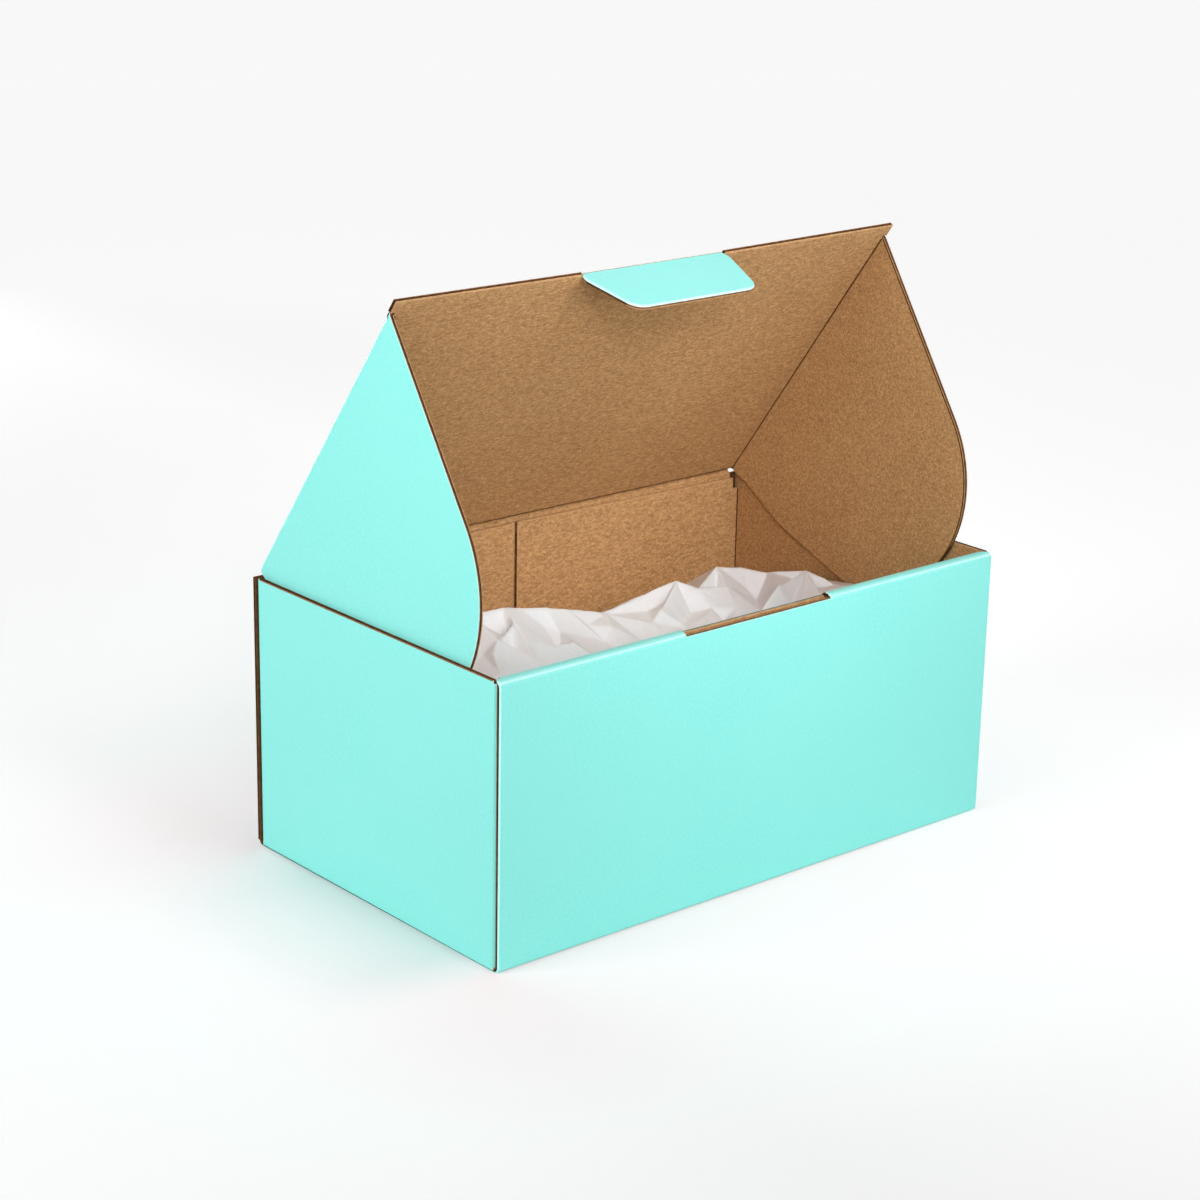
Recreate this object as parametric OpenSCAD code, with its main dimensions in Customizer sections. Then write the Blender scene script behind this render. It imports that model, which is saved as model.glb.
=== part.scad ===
// Open one-piece mailer box of corrugated board, with crumpled tissue paper inside.
// Millimetres. The origin is in the middle of the footprint, on the surface it stands on.
// +X runs to the right along the front wall, +Y to the back and +Z up.

/* [Box] */
// Width of the box along its front wall
box_w = 200; // [170:1:240]
// Depth of the box from front to back
box_d = 120; // [110:1:150]
// Height of the front wall and the side walls
wall_h = 88; // [75:1:105]
// Thickness of the corrugated board
board_t = 1.5; // [1.3:0.1:1.8]
// Inner radius of a folded crease
fold_r = 0.3; // [0.2:0.1:0.6]

/* [Front wall] */
// Space between the two layers of the front wall, where the corner flaps and the tuck tab go
pocket_w = 1.9; // [1.9:0.1:2.4]
// How far each end of the outer front panel stays inside the side walls' faces
front_inset = 0.5; // [0.2:0.1:1]
// How far each end of the inner front panel stays inside the side walls' faces
inner_inset = 4; // [3:0.1:5]
// Length of the slot in the top of the front wall
slot_l = 58.6; // [58:0.2:66]
// Depth of the slot's cut below the top of the front wall's two layers
slot_cut = 1.0; // [0.6:0.1:1.4]
// Sideways place of the slot and the tuck tab, from the middle
lock_x = -1; // [-8:1:8]
// Width of each locking tab at the foot of the inner front panel
foot_w = 24; // [16:1:30]
// Distance of each locking tab from the middle
foot_x = 56; // [45:1:62]

/* [Corner flaps] */
// How far the front corner flaps stop short of the slot
flap_slot_gap = 9; // [4:1:20]
// Gap between the ends of the two rear corner flaps
rear_flap_gap = 1.6; // [1:0.2:8]
// How far the rear corner flaps' free ends stay below the tops of the walls
rear_flap_drop = 0.2; // [0.1:0.1:2]
// How much more the rear corner flaps drop towards the side walls
rear_flap_slope = 1.2; // [0:0.1:3]
// Depth of the relief cuts between the rear corner flaps and the side walls
relief_h = 5; // [3:0.5:10]
// How far the front corner flaps stay below the top strip of the front wall
front_flap_drop = 0.3; // [0.2:0.1:2]
// How far the flaps stay above the inside of the bottom
flap_foot_gap = 0.5; // [0.3:0.1:2]

/* [Lid] */
// Angle of the lid above level, as it stands open
lid_open = 54; // [30:1:90]
// How far the lid's raw front edge stands past the crease of the tuck tab
lid_lip = 0.6; // [0.2:0.1:1.2]
// Distance from the lid's hinge to the rear edge of its wings, beside the rear corner flaps
wing_rear = 3.5; // [3.4:0.1:6]
// Distance from the lid's raw front edge back to the wings
wing_front = 4.6; // [3.6:0.1:10]
// Clearance between the closed wings and the bottom
wing_foot_gap = 1.7; // [1:0.1:8]
// Slope of the wings' front edges
wing_front_slope = 21; // [10:1:25]
// Slope of the lower part of the wings' rear edges
wing_rear_slope = 15; // [8:1:20]
// Length of the straight upper part of the wings' rear edges
wing_rear_straight = 30; // [15:1:35]
// Radius of the wings' front lower corners
wing_front_r = 41; // [15:1:44]
// Radius of the wings' rear lower corners
wing_rear_r = 12; // [4:1:16]
// Width of the cut-outs in the corners at the hinge
relief_w = 2.1; // [1.9:0.1:4]

/* [Tuck tab] */
// Angle that the tuck tab is folded in from the lid
tab_fold = 68; // [60:1:90]
// Length of the tuck tab from its crease to its free edge
tab_l = 24.4; // [16:0.2:28]
// Width of the tuck tab at its crease
tab_w = 55.4; // [48:0.2:56]
// Width that the tuck tab gains on each side just past its crease
tab_bulge = 1; // [0:0.1:1.1]
// Distance of the tuck tab's widest place from its crease
tab_bulge_l = 4; // [3:0.1:6]
// Width that the tuck tab then loses on each side, from its crease to its free edge
tab_taper = 2.4; // [0:0.1:5]
// Radius of the tuck tab's free corners
tab_r = 5; // [2:0.5:8]

/* [Tissue paper] */
// How far the highest crest of the tissue paper stays below the walls
tissue_drop = 12; // [8:1:24]
// Clearance between the tissue paper and the board around it
tissue_gap = 0.7; // [0.5:0.1:3]
// Steps of the tissue paper's surface across the box
tissue_nx = 60; // [30:2:64]
// Steps of the tissue paper's surface from front to back
tissue_ny = 38; // [18:2:40]

/* [Clearances] */
// Play between a flap and the wall that it lies on
seam = 0.15; // [0.1:0.05:0.3]
// Play between the lid's wings and the side walls
wing_gap = 0.3; // [0.2:0.05:0.6]
// Gap between the closed lid and the tops of the walls
lid_gap = 0.2; // [0.1:0.05:0.5]
// Clearance around the wings' heels, beside the back wall and in the relief cuts
heel_gap = 0.3; // [0.2:0.05:0.6]

/* [Hidden] */
$fn = 48;

print_colour = "#8FF0E4";
tissue_colour = "#E4DDDC";

// Outer radius of a fold
fold_ro = fold_r + board_t;
// The front wall's whole thickness: outer panel, pocket and inner panel
front_t = 2 * board_t + pocket_w;
// Inner face of the outer front panel, and both faces of the inner one
front_y = -box_d / 2;
inner_y0 = front_y + board_t + pocket_w;
inner_y1 = front_y + front_t;
// Side walls and their flaps lie this far from front to back
side_d = box_d - 2 * board_t - 2 * seam;
// The lid turns about the outer edge of the crease above the back wall
hinge_y = box_d / 2;
hinge_z = wall_h + lid_gap + board_t;
// Lid: width, crease of the tuck tab, raw front edge, and the wings' front end
lid_w = box_w - 2 * board_t - 2 * wing_gap;
tab_a = box_d - board_t - seam;
lid_a = tab_a + lid_lip;
wing_a = lid_a - wing_front;
wing_b = hinge_z - board_t - wing_foot_gap;
// The wings' heels reach back to the back wall, above the bottom of the relief cuts
heel_a = board_t + heel_gap;
heel_b = hinge_z - wall_h + relief_h - heel_gap;
heel_chamfer = 1.5;
// Mitre of the creases at the tuck tab, a little over half of its largest fold
tab_mitre = 47;
crease_gap = 0.1;
// Space beside the tuck tab where it leaves the lid's edge
tab_side_gap = 0.4;
// Play of the locking tabs in their holes in the bottom
foot_gap = 0.3;
// Length of cutters past the faces that they cut
over = 1;

// Tissue paper: the block of air that it fills, between the closed wings
tissue_x = lid_w / 2 - board_t - tissue_gap;
tissue_y0 = inner_y1 + tissue_gap;
tissue_y1 = side_d / 2 - board_t - tissue_gap;
tissue_z0 = board_t + seam;
tissue_top = wall_h - tissue_drop;
// Height of the tissue paper's hills
tissue_rise = wall_h * 0.27;
// Crests of the crumpled sheet. Each has its two ends as shares of the width and the depth,
// their drop from the highest place as shares of the rise, and the slope of its two flanks
tissue_crests = [
    [[0.26, 0.66], [0.32, 0.67], [0.04, 0.04], 0.62],
    [[0.32, 0.67], [0.39, 0.68], [0.04, 0.17], 0.66],
    [[0.39, 0.68], [0.53, 0.69], [0.17, 0.42], 0.70],
    [[0.53, 0.69], [0.69, 0.66], [0.42, 0.25], 0.70],
    [[0.69, 0.66], [0.75, 0.68], [0.25, 0.42], 0.75],
    [[0.75, 0.68], [0.79, 0.66], [0.42, 0.17], 0.75],
    [[0.79, 0.66], [0.85, 0.68], [0.17, 0.29], 0.70],
    [[0.85, 0.68], [0.90, 0.66], [0.29, 0.46], 0.75],
    [[0.85, 0.68], [0.90, 0.49], [0.29, 0.17], 0.70],
    [[0.90, 0.49], [0.87, 0.31], [0.17, 0.13], 0.75],
    [[0.87, 0.31], [0.93, 0.22], [0.13, 0.50], 0.80],
    [[0.26, 0.66], [0.13, 0.36], [0.04, 0.38], 0.75],
    [[0.13, 0.36], [0.05, 0.58], [0.38, 0.30], 0.70],
    [[0.32, 0.67], [0.37, 0.38], [0.04, 0.34], 0.80],
    [[0.37, 0.38], [0.27, 0.16], [0.34, 0.55], 0.80],
    [[0.39, 0.68], [0.50, 0.46], [0.17, 0.50], 0.80],
    [[0.50, 0.46], [0.66, 0.48], [0.50, 0.34], 0.75],
    [[0.66, 0.48], [0.69, 0.66], [0.34, 0.25], 0.75],
    [[0.66, 0.48], [0.61, 0.22], [0.34, 0.60], 0.80],
    [[0.79, 0.66], [0.76, 0.36], [0.17, 0.30], 0.80],
    [[0.76, 0.36], [0.70, 0.16], [0.30, 0.62], 0.80]
];

function unit(v) = v / norm(v);
function clamp(v, low, high) = min(max(v, low), high);

// Length of an edge that a corner's rounding takes up, and the two ends of the rounding
function corner_cut(a, b, c, r) = r / tan(corner_angle(a, b, c) / 2);
function corner_angle(a, b, c) = acos(unit(a - b) * unit(c - b));
function corner_ends(a, b, c, r) =
    let (cut = corner_cut(a, b, c, r))
    [b + unit(a - b) * cut, b + unit(c - b) * cut];
function corner_centre(a, b, c, r) =
    b + unit(unit(a - b) + unit(c - b)) * r / sin(corner_angle(a, b, c) / 2);

// Convex outline whose corners are rounded by a radius each, 0 for a sharp one
module rounded_outline(points, radii) {
    n = len(points);
    before = [for (i = [0 : n - 1]) points[(i + n - 1) % n]];
    after = [for (i = [0 : n - 1]) points[(i + 1) % n]];
    polygon([
        for (i = [0 : n - 1])
            for (p = radii[i] > 0 ? corner_ends(before[i], points[i], after[i], radii[i]) : [points[i]]) p
    ]);
    for (i = [0 : n - 1])
        if (radii[i] > 0)
            translate(corner_centre(before[i], points[i], after[i], radii[i]))
                circle(radii[i], $fn = 96);
}

// Solid section with its two lower corners rounded, standing on its middle
module tub(w, h, r) {
    translate([-w / 2, r]) square([w, h - r]);
    translate([r - w / 2, 0]) square([w - 2 * r, h]);
    for (side = [-1, 1])
        translate([side * (w / 2 - r), r]) circle(r);
}

// Board folded up on both sides of a level stretch
module channel(w, h) {
    difference() {
        tub(w, h, fold_ro);
        translate([0, board_t]) tub(w - 2 * board_t, h, fold_r);
    }
}

// A section in Y and Z, drawn out along X between two places
module along_x(x0, x1) {
    translate([x0, 0, 0])
        rotate([90, 0, 90])
            linear_extrude(x1 - x0) children();
}

// A section in X and Z, drawn out along Y between two places
module along_y(y0, y1) {
    translate([0, y1, 0])
        rotate([90, 0, 0])
            linear_extrude(y1 - y0) children();
}

// Bottom with the folds at its front and back
module bottom_section() {
    channel(box_d, 2 * fold_ro);
}

// Front wall: outer panel, narrow strip over the top and inner panel down to the bottom
module front_section() {
    translate([front_y, fold_ro]) square([board_t, wall_h - 2 * fold_ro]);
    translate([front_y + front_t / 2, wall_h]) mirror([0, 1]) channel(front_t, 2 * fold_ro);
    translate([inner_y0, board_t + seam]) square([board_t, wall_h - fold_ro - board_t - seam]);
}

// Back wall, with its inner side cut back under the hinge crease
module back_section() {
    top = hinge_z - lid_gap;
    polygon([
        [box_d / 2 - board_t, fold_ro],
        [box_d / 2, fold_ro],
        [box_d / 2, top],
        [box_d / 2 - board_t, top - board_t]
    ]);
}

// Plan of the front wall, whose strip runs in at both ends towards the inner panel
module front_plan() {
    outer_x = box_w / 2 - front_inset;
    inner_x = box_w / 2 - inner_inset;
    polygon([
        [-outer_x, front_y], [outer_x, front_y], [outer_x, front_y + board_t],
        [inner_x, inner_y1], [-inner_x, inner_y1], [-outer_x, front_y + board_t]
    ]);
}

module front_wall() {
    intersection() {
        along_x(-box_w / 2, box_w / 2) front_section();
        translate([0, 0, -over]) linear_extrude(wall_h + 2 * over) front_plan();
    }
}

// Plan of the two side walls, with the vertical folds to their flaps
module side_plan(w, d, r) {
    for (turn = [0, 180])
        rotate(turn) {
            translate([0, -d / 2 + r]) square([w / 2, d - 2 * r]);
            translate([0, -d / 2]) square([w / 2 - r, d]);
            for (side = [-1, 1])
                translate([w / 2 - r, side * (d / 2 - r)]) circle(r);
        }
}

module side_walls() {
    intersection() {
        along_y(-side_d / 2, side_d / 2) channel(box_w, wall_h);
        linear_extrude(wall_h) side_plan(box_w, side_d, fold_ro);
    }
}

// Flaps at both ends of the side walls, folded in behind the front and back walls
module corner_flaps() {
    foot = board_t + flap_foot_gap;
    front_top = wall_h - board_t - front_flap_drop;
    front_end = slot_l / 2 + abs(lock_x) + flap_slot_gap;
    for (side = [-1, 1]) {
        intersection() {
            translate([0, 0, foot]) linear_extrude(front_top - foot) flap_plan();
            translate([side < 0 ? -box_w / 2 : front_end, -side_d / 2, 0])
                cube([box_w / 2 - front_end, side_d / 2, wall_h]);
        }
        intersection() {
            translate([0, 0, foot]) linear_extrude(wall_h - foot) flap_plan();
            along_y(0, side_d / 2) mirror([side < 0 ? 1 : 0, 0]) rear_flap_front();
        }
    }
}

// Front view of the right rear flap, with a relief cut where its fold meets the side wall
module rear_flap_front() {
    high = wall_h - rear_flap_drop;
    low = high - rear_flap_slope;
    relief_x = lid_w / 2 - board_t - heel_gap;
    polygon([
        [rear_flap_gap / 2, 0],
        [box_w / 2, 0],
        [box_w / 2, wall_h - relief_h],
        [relief_x, wall_h - relief_h],
        [relief_x, low],
        [rear_flap_gap / 2, high]
    ]);
}

module flap_plan() {
    difference() {
        side_plan(box_w, side_d, fold_ro);
        side_plan(box_w - 2 * board_t, side_d - 2 * board_t, fold_r);
    }
}

// Slot for the tuck tab, through the strip and just over both creases
module lock_slot() {
    translate([lock_x - slot_l / 2, front_y - over, wall_h - slot_cut])
        cube([slot_l, front_t + 2 * over, slot_cut + over]);
    translate([lock_x - slot_l / 2, front_y + board_t, wall_h - fold_ro - over])
        cube([slot_l, pocket_w, fold_ro + 2 * over]);
}

// The side walls end under the strip of the front wall
module side_wall_notches() {
    for (side = [-1, 1])
        translate([side * box_w / 2 - fold_ro, front_y + board_t, wall_h - board_t - front_flap_drop])
            cube([2 * fold_ro, pocket_w / 2 + seam, board_t + over]);
}

// The crease above the back wall is cut out at both ends of the hinge
module hinge_corner_cuts() {
    for (side = [-1, 1])
        translate([side * (lid_w / 2 + relief_w) - 2 * relief_w, box_d / 2 - 2 * board_t, wall_h])
            cube([4 * relief_w, 4 * board_t, 4 * board_t]);
}

// Locking tabs at the foot of the inner front panel, and their holes in the bottom
module foot_holes() {
    for (side = [-1, 1])
        translate([side * foot_x - foot_w / 2 - foot_gap, inner_y0 - seam, -over])
            cube([foot_w + 2 * foot_gap, board_t + 2 * seam, board_t + over]);
}

module foot_tabs() {
    for (side = [-1, 1])
        translate([side * foot_x - foot_w / 2, inner_y0, seam])
            cube([foot_w, board_t, 3 * board_t]);
}

module box_body() {
    color(print_colour) {
        difference() {
            union() {
                along_x(front_inset - box_w / 2, box_w / 2 - front_inset) bottom_section();
                along_x(-box_w / 2, box_w / 2) back_section();
                difference() {
                    side_walls();
                    side_wall_notches();
                }
                corner_flaps();
                front_wall();
            }
            lock_slot();
            hinge_corner_cuts();
            foot_holes();
        }
        foot_tabs();
    }
}

// Section of the lid's panel, closed, with the hinge at the origin and the outer face level
module lid_panel_section() {
    polygon([[0, 0], [-board_t, -board_t], [-lid_a, -board_t], [-lid_a, 0]]);
}

// Edge of the lid that the tuck tab folds on, mitred on its inner side
module tab_seat() {
    deep = board_t + over;
    along_x(lock_x - tab_w / 2 - tab_side_gap, lock_x + tab_w / 2 + tab_side_gap)
        polygon([
            [crease_gap - tab_a, over],
            [-lid_a - over, over],
            [-lid_a - over, -deep],
            [crease_gap - tab_a + deep * tan(tab_mitre), -deep],
            [crease_gap - tab_a, 0]
        ]);
}

module lid_panel() {
    difference() {
        along_x(-lid_w / 2, lid_w / 2) lid_panel_section();
        tab_seat();
        // Cut-outs at the hinge, and the strips where the wings fold off
        for (side = [-1, 1]) {
            translate([side * lid_w / 2 - relief_w, -heel_a, -board_t - over])
                cube([2 * relief_w, heel_a + over, board_t + 2 * over]);
            translate([side * lid_w / 2 - fold_ro, -wing_a, -board_t - over])
                cube([2 * fold_ro, wing_a - heel_a + over, board_t + 2 * over]);
        }
    }
}

// Side view of a wing, as distances behind the hinge and below the lid's outer face
module wing_outline() {
    front_low = wing_a - wing_b * tan(wing_front_slope);
    rear_low = wing_rear + (wing_b - wing_rear_straight) * tan(wing_rear_slope);
    rounded_outline(
        [
            [-wing_rear, 0],
            [-wing_a, 0],
            [-front_low, -wing_b],
            [-rear_low, -wing_b],
            [-wing_rear, -wing_rear_straight]
        ],
        [0, 0, wing_front_r, wing_rear_r, 0]
    );
    polygon([
        [-heel_a, 0],
        [-wing_rear - over, 0],
        [-wing_rear - over, -heel_b],
        [-heel_a - heel_chamfer, -heel_b],
        [-heel_a, heel_chamfer - heel_b]
    ]);
}

module wings() {
    intersection() {
        along_y(-wing_a, -heel_a) mirror([0, 1]) channel(lid_w, wing_b + over);
        along_x(-lid_w / 2, lid_w / 2) wing_outline();
    }
}

module lid() {
    color(print_colour)
        translate([0, hinge_y, hinge_z])
            rotate([-lid_open, 0, 0]) {
                lid_panel();
                wings();
            }
}

// Plan of the tuck tab, with its crease along the X axis
module tab_plan() {
    rounded_outline(
        [
            [tab_w / 2, 0],
            [-tab_w / 2, 0],
            [-tab_w / 2 - tab_bulge, -tab_bulge_l],
            [tab_taper - tab_w / 2, -tab_l],
            [tab_w / 2 - tab_taper, -tab_l],
            [tab_w / 2 + tab_bulge, -tab_bulge_l]
        ],
        [0, 0, tab_r, tab_r, tab_r, tab_r]
    );
}

module tuck_tab() {
    color(print_colour)
        translate([0, hinge_y, hinge_z])
            rotate([-lid_open, 0, 0])
                translate([lock_x, -tab_a, 0])
                    rotate([tab_fold, 0, 0])
                        intersection() {
                            along_x(-tab_w / 2 - tab_bulge, tab_w / 2 + tab_bulge)
                                polygon([
                                    [-crease_gap, 0],
                                    [-crease_gap - board_t * tan(tab_mitre), -board_t],
                                    [-tab_l, -board_t],
                                    [-tab_l, 0]
                                ]);
                            translate([0, 0, -board_t - over])
                                linear_extrude(board_t + 2 * over) tab_plan();
                        }
}

// Place in the tissue paper's block from shares of its width and depth
function tissue_place(s) = [
    (2 * s[0] - 1) * tissue_x,
    tissue_y0 + s[1] * (tissue_y1 - tissue_y0)
];

// Height that one crest gives to a place: its line less the fall of its flanks
function crest_height(p, crest) =
    let (
        a = tissue_place(crest[0]),
        b = tissue_place(crest[1]),
        along = clamp(((p - a) * (b - a)) / ((b - a) * (b - a)), 0, 1),
        away = norm(p - a - along * (b - a)),
        drop = crest[2][0] + along * (crest[2][1] - crest[2][0])
    )
    tissue_top - tissue_rise * drop - crest[3] * away;

// Broad dents between the crests, as a share of the rise
function tissue_dents(p) =
    let (u = p[0] / tissue_x, v = p[1] / tissue_y1)
    0.09 * sin(300 * u + 40) * sin(240 * v + 200 * u) - 0.25 * max(0, v);

function tissue_height(p) =
    max(
        tissue_top - tissue_rise * (1 - tissue_dents(p)),
        max([for (crest = tissue_crests) crest_height(p, crest)])
    );

// Crumpled sheet as one closed form: a grid of heights over a level base
module tissue_paper() {
    nx = tissue_nx;
    ny = tissue_ny;
    places = [
        for (j = [0 : ny])
            for (i = [0 : nx]) tissue_place([i / nx, j / ny])
    ];
    top = [for (p = places) [p[0], p[1], tissue_height(p)]];
    rim = concat(
        [for (i = [0 : nx - 1]) i],
        [for (j = [0 : ny - 1]) j * (nx + 1) + nx],
        [for (i = [nx : -1 : 1]) ny * (nx + 1) + i],
        [for (j = [ny : -1 : 1]) j * (nx + 1)]
    );
    base = [for (k = rim) [top[k][0], top[k][1], tissue_z0]];
    middle = [0, (tissue_y0 + tissue_y1) / 2, tissue_z0];
    n = len(rim);
    first = len(top);
    color(tissue_colour)
        polyhedron(
            points = concat(top, base, [middle]),
            faces = concat(
                [
                    for (j = [0 : ny - 1])
                        for (i = [0 : nx - 1])
                            let (k = j * (nx + 1) + i)
                            for (f = [[k, k + nx + 2, k + 1], [k, k + nx + 1, k + nx + 2]]) f
                ],
                [
                    for (k = [0 : n - 1])
                        let (m = (k + 1) % n)
                        for (f = [[rim[k], rim[m], first + m], [rim[k], first + m, first + k]]) f
                ],
                [for (k = [0 : n - 1]) [first + k, first + (k + 1) % n, first + n]]
            )
        );
}

box_body();
lid();
tuck_tab();
tissue_paper();
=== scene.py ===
import math
import random

import bmesh
import bpy
from mathutils import Matrix, Vector, noise
from mathutils.bvhtree import BVHTree
from mathutils.geometry import delaunay_2d_cdt


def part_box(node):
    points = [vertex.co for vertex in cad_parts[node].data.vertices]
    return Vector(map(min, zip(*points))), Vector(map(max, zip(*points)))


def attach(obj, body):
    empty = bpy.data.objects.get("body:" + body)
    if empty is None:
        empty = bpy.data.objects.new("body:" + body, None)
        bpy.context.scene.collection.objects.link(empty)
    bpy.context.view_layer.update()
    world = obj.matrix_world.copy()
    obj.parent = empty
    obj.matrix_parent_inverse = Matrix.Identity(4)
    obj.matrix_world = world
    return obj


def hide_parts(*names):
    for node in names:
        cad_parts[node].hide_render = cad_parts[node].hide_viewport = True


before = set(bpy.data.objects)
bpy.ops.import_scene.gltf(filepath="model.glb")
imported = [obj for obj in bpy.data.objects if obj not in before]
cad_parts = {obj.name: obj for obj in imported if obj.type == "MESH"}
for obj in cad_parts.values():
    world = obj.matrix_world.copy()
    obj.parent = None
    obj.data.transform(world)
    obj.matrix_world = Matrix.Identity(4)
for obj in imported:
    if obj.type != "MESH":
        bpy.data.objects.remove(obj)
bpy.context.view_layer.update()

MM = 0.001
X = Vector((1, 0, 0))
Z = Vector((0, 0, 1))

# The board and its fluted paper
BOARD = 1.5 * MM  # thickness of the corrugated board
LINER = 0.24 * MM  # thickness of each of its two liners
MEDIUM = 0.14 * MM  # thickness of the fluted paper between them
PITCH = 3.45 * MM  # length of one flute wave
WAVE_STEP = 0.3 * MM  # length of the straight pieces that make up a wave
DEPTH = 1.6 * MM  # how far the raw edges across the flutes are modelled inwards
SHUT = 0.15 * MM  # the same for the raw edges that run along the flutes
RIM = 0.35 * MM  # width of the band that the die pressed down along the raw edges

# The lid and the tuck tab as they stand in the photo
OPEN = math.radians(54)  # angle of the lid above level
TAB = math.radians(54 - 68)  # direction of the tuck tab, seen from the side
LID_OUT = Vector((0, math.sin(OPEN), math.cos(OPEN)))
LID_UP = Vector((0, -math.cos(OPEN), math.sin(OPEN)))
TAB_OUT = Vector((0, math.sin(TAB), math.cos(TAB)))
TAB_CREASE_Y = -9.6 * MM
TAB_LENGTH = 23.6 * MM  # from front to back
TAB_SHIFT = 1.2 * MM  # how far left of the solid's the tuck tab stands
TAB_DROP = 0.8 * MM  # how far it stands below the lid's raw edge

# Creases at the box's front corners, in mm from the middle: their centre and outer radius
CORNER_X, CORNER_Y, CORNER_R = 98.4, 56.9, 1.6

# Cosines of the angle between two faces
SAME_PLANE = 0.9999  # above it, they lie in one plane
GOES_ON = 0.85  # above it, one goes on smoothly from the other
SHADES_ON = 0.75  # above it, the shading goes over their edge
SQUARE_TO = 0.2  # below it, they meet square

# The materials of the board, in the order of BOARD_MATERIALS
(
    PRINT, KRAFT, PRINT_RIM, KRAFT_RIM, CUT, FLUTE, DEEP,
    PRINT_HIGHLIGHT, KRAFT_SHADE, PRINT_LIT_TOP, PRINT_TAB_SHEEN,
) = range(11)
# Marks for faces that are replaced: raw edges, and edges cut at a slant
RAW, SLANT = 11, 12
# The band along a raw edge, for each side of the board, painted paler: partly worn fibres at the cut,
# partly a painted highlight
RIM_OF = {PRINT: PRINT_RIM, KRAFT: KRAFT_RIM}
# The cut through a liner, for each side and for edges across the flutes or along them. Cuts along the
# flutes are painted dark, as shade in the narrow gaps where they stand.
LINER_CUT = {
    (PRINT, True): CUT,
    (KRAFT, True): KRAFT_RIM,
    (PRINT, False): KRAFT_SHADE,
    (KRAFT, False): FLUTE,
}
# Materials that shade into each other
SIDES = [
    {PRINT, PRINT_HIGHLIGHT, PRINT_RIM, PRINT_LIT_TOP, PRINT_TAB_SHEEN},
    {KRAFT, KRAFT_SHADE, KRAFT_RIM},
]


def sign(v):
    return 1 if v > 0 else -1


def add_object(name, mesh):
    obj = bpy.data.objects.new(name, mesh)
    bpy.context.scene.collection.objects.link(obj)
    return obj


def out_of_body(p, n):
    """Above 0 where a face of the box, at a place and with a normal, is on the printed side."""
    x, y, z = p / MM
    if z > 85.9 and y < -54.5:  # the strip over the front wall, and its two creases
        return n.z + (n.y if y > -57.5 else -n.y)
    if -56.75 < y < -55.0 and abs(x) < 97:  # the front wall's inner panel
        return n.y
    out = Vector((
        sign(x) if abs(x) > 97.9 else 0,
        sign(y) if abs(y) > 56.5 else 0,
        -1 if z < 1.9 else 0,
    ))
    return n.dot(out)


def out_of_lid(p, n):
    return n.dot(LID_OUT) + n.x * sign(p.x)


def out_of_tab(p, n):
    return n.dot(TAB_OUT)


def across_body(p, n):
    """The direction in which the flutes follow each other, at a place and with a normal."""
    flap = abs(n.y) > 0.7 and 56.7 < abs(p.y) / MM < 58.42
    return Z if flap or abs(n.x) > 0.7 else X


def across_lid(p, n):
    return LID_OUT if abs(n.x) > 0.7 else X


def across_tab(p, n):
    return X


def crush_body(p):
    """How far the printed and the plain side are pressed down along a raw edge at a place."""
    in_front = p.y < -58.3 * MM
    return {PRINT: (0.45 if in_front else 0.12) * MM, KRAFT: 0.22 * MM}


def crush_lid(p):
    return {PRINT: 0.03 * MM, KRAFT: 0.3 * MM}


def crush_tab(p):
    return {PRINT: 0.6 * MM, KRAFT: 0.12 * MM}


def shape_front_corners(bm):
    """The front corners' creases are sharper than the solid's, and the relief cuts are shorter."""
    for v in bm.verts:
        x, y, z = v.co / MM
        u, w = (abs(x) - CORNER_X) / CORNER_R, (-CORNER_Y - y) / CORNER_R
        if 0 < u <= 1.01 and 0 < w <= 1.01 and u * u + w * w > 0.8:
            out = 1 + 0.75 * (1 / max(u, w) - 1)
            v.co.x = sign(x) * (CORNER_X + CORNER_R * u * out) * MM
            v.co.y = (-CORNER_Y - CORNER_R * w * out) * MM
        if abs(x) > 97.3 and -58.7 < y < -55.5 and 80 < z < 86.5:
            v.co.z += 0.6 * (87.6 - z) * MM


def shape_lid(bm):
    """The tab's seat goes with the tab, and the wings' rear edges run up closer to the hinge."""
    for v in bm.verts:
        if abs(v.co.x) < 31 * MM:
            v.co.x -= TAB_SHIFT
            v.co -= LID_UP * TAB_DROP
        on_wing = abs(v.co.x) > 96.5 * MM
        if on_wing and v.co.z < 90.6 * MM and v.co.y > 54 * MM:  # the heel
            v.co += Vector((0, 0.6, -0.7)) * MM
        elif on_wing and v.co.z < 90 * MM and v.co.y > 52 * MM:  # the step below it
            v.co += Vector((0, -1.35, -2.45)) * MM


def shape_tab(bm):
    """The tab stands left of the solid's and lower, and gets narrower towards its free edge."""
    for v in bm.verts:
        out = max(0, (TAB_CREASE_Y - v.co.y) / TAB_LENGTH)
        v.co.x -= TAB_SHIFT + (3.9 * MM * out if v.co.x > 0 else 1.0 * MM * out)
        v.co -= LID_UP * TAB_DROP


def flat_groups(faces):
    """Neighbouring faces that lie in one plane, as lists."""
    left, groups = set(faces), []
    for first in faces:
        if first not in left:
            continue
        left.remove(first)
        group = [first]
        for f in group:
            for g in (g for e in f.edges for g in e.link_faces):
                if g in left and g.normal.dot(f.normal) > SAME_PLANE:
                    left.remove(g)
                    group.append(g)
        groups.append(group)
    return groups


def area(faces):
    return sum(f.calc_area() for f in faces)


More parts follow.
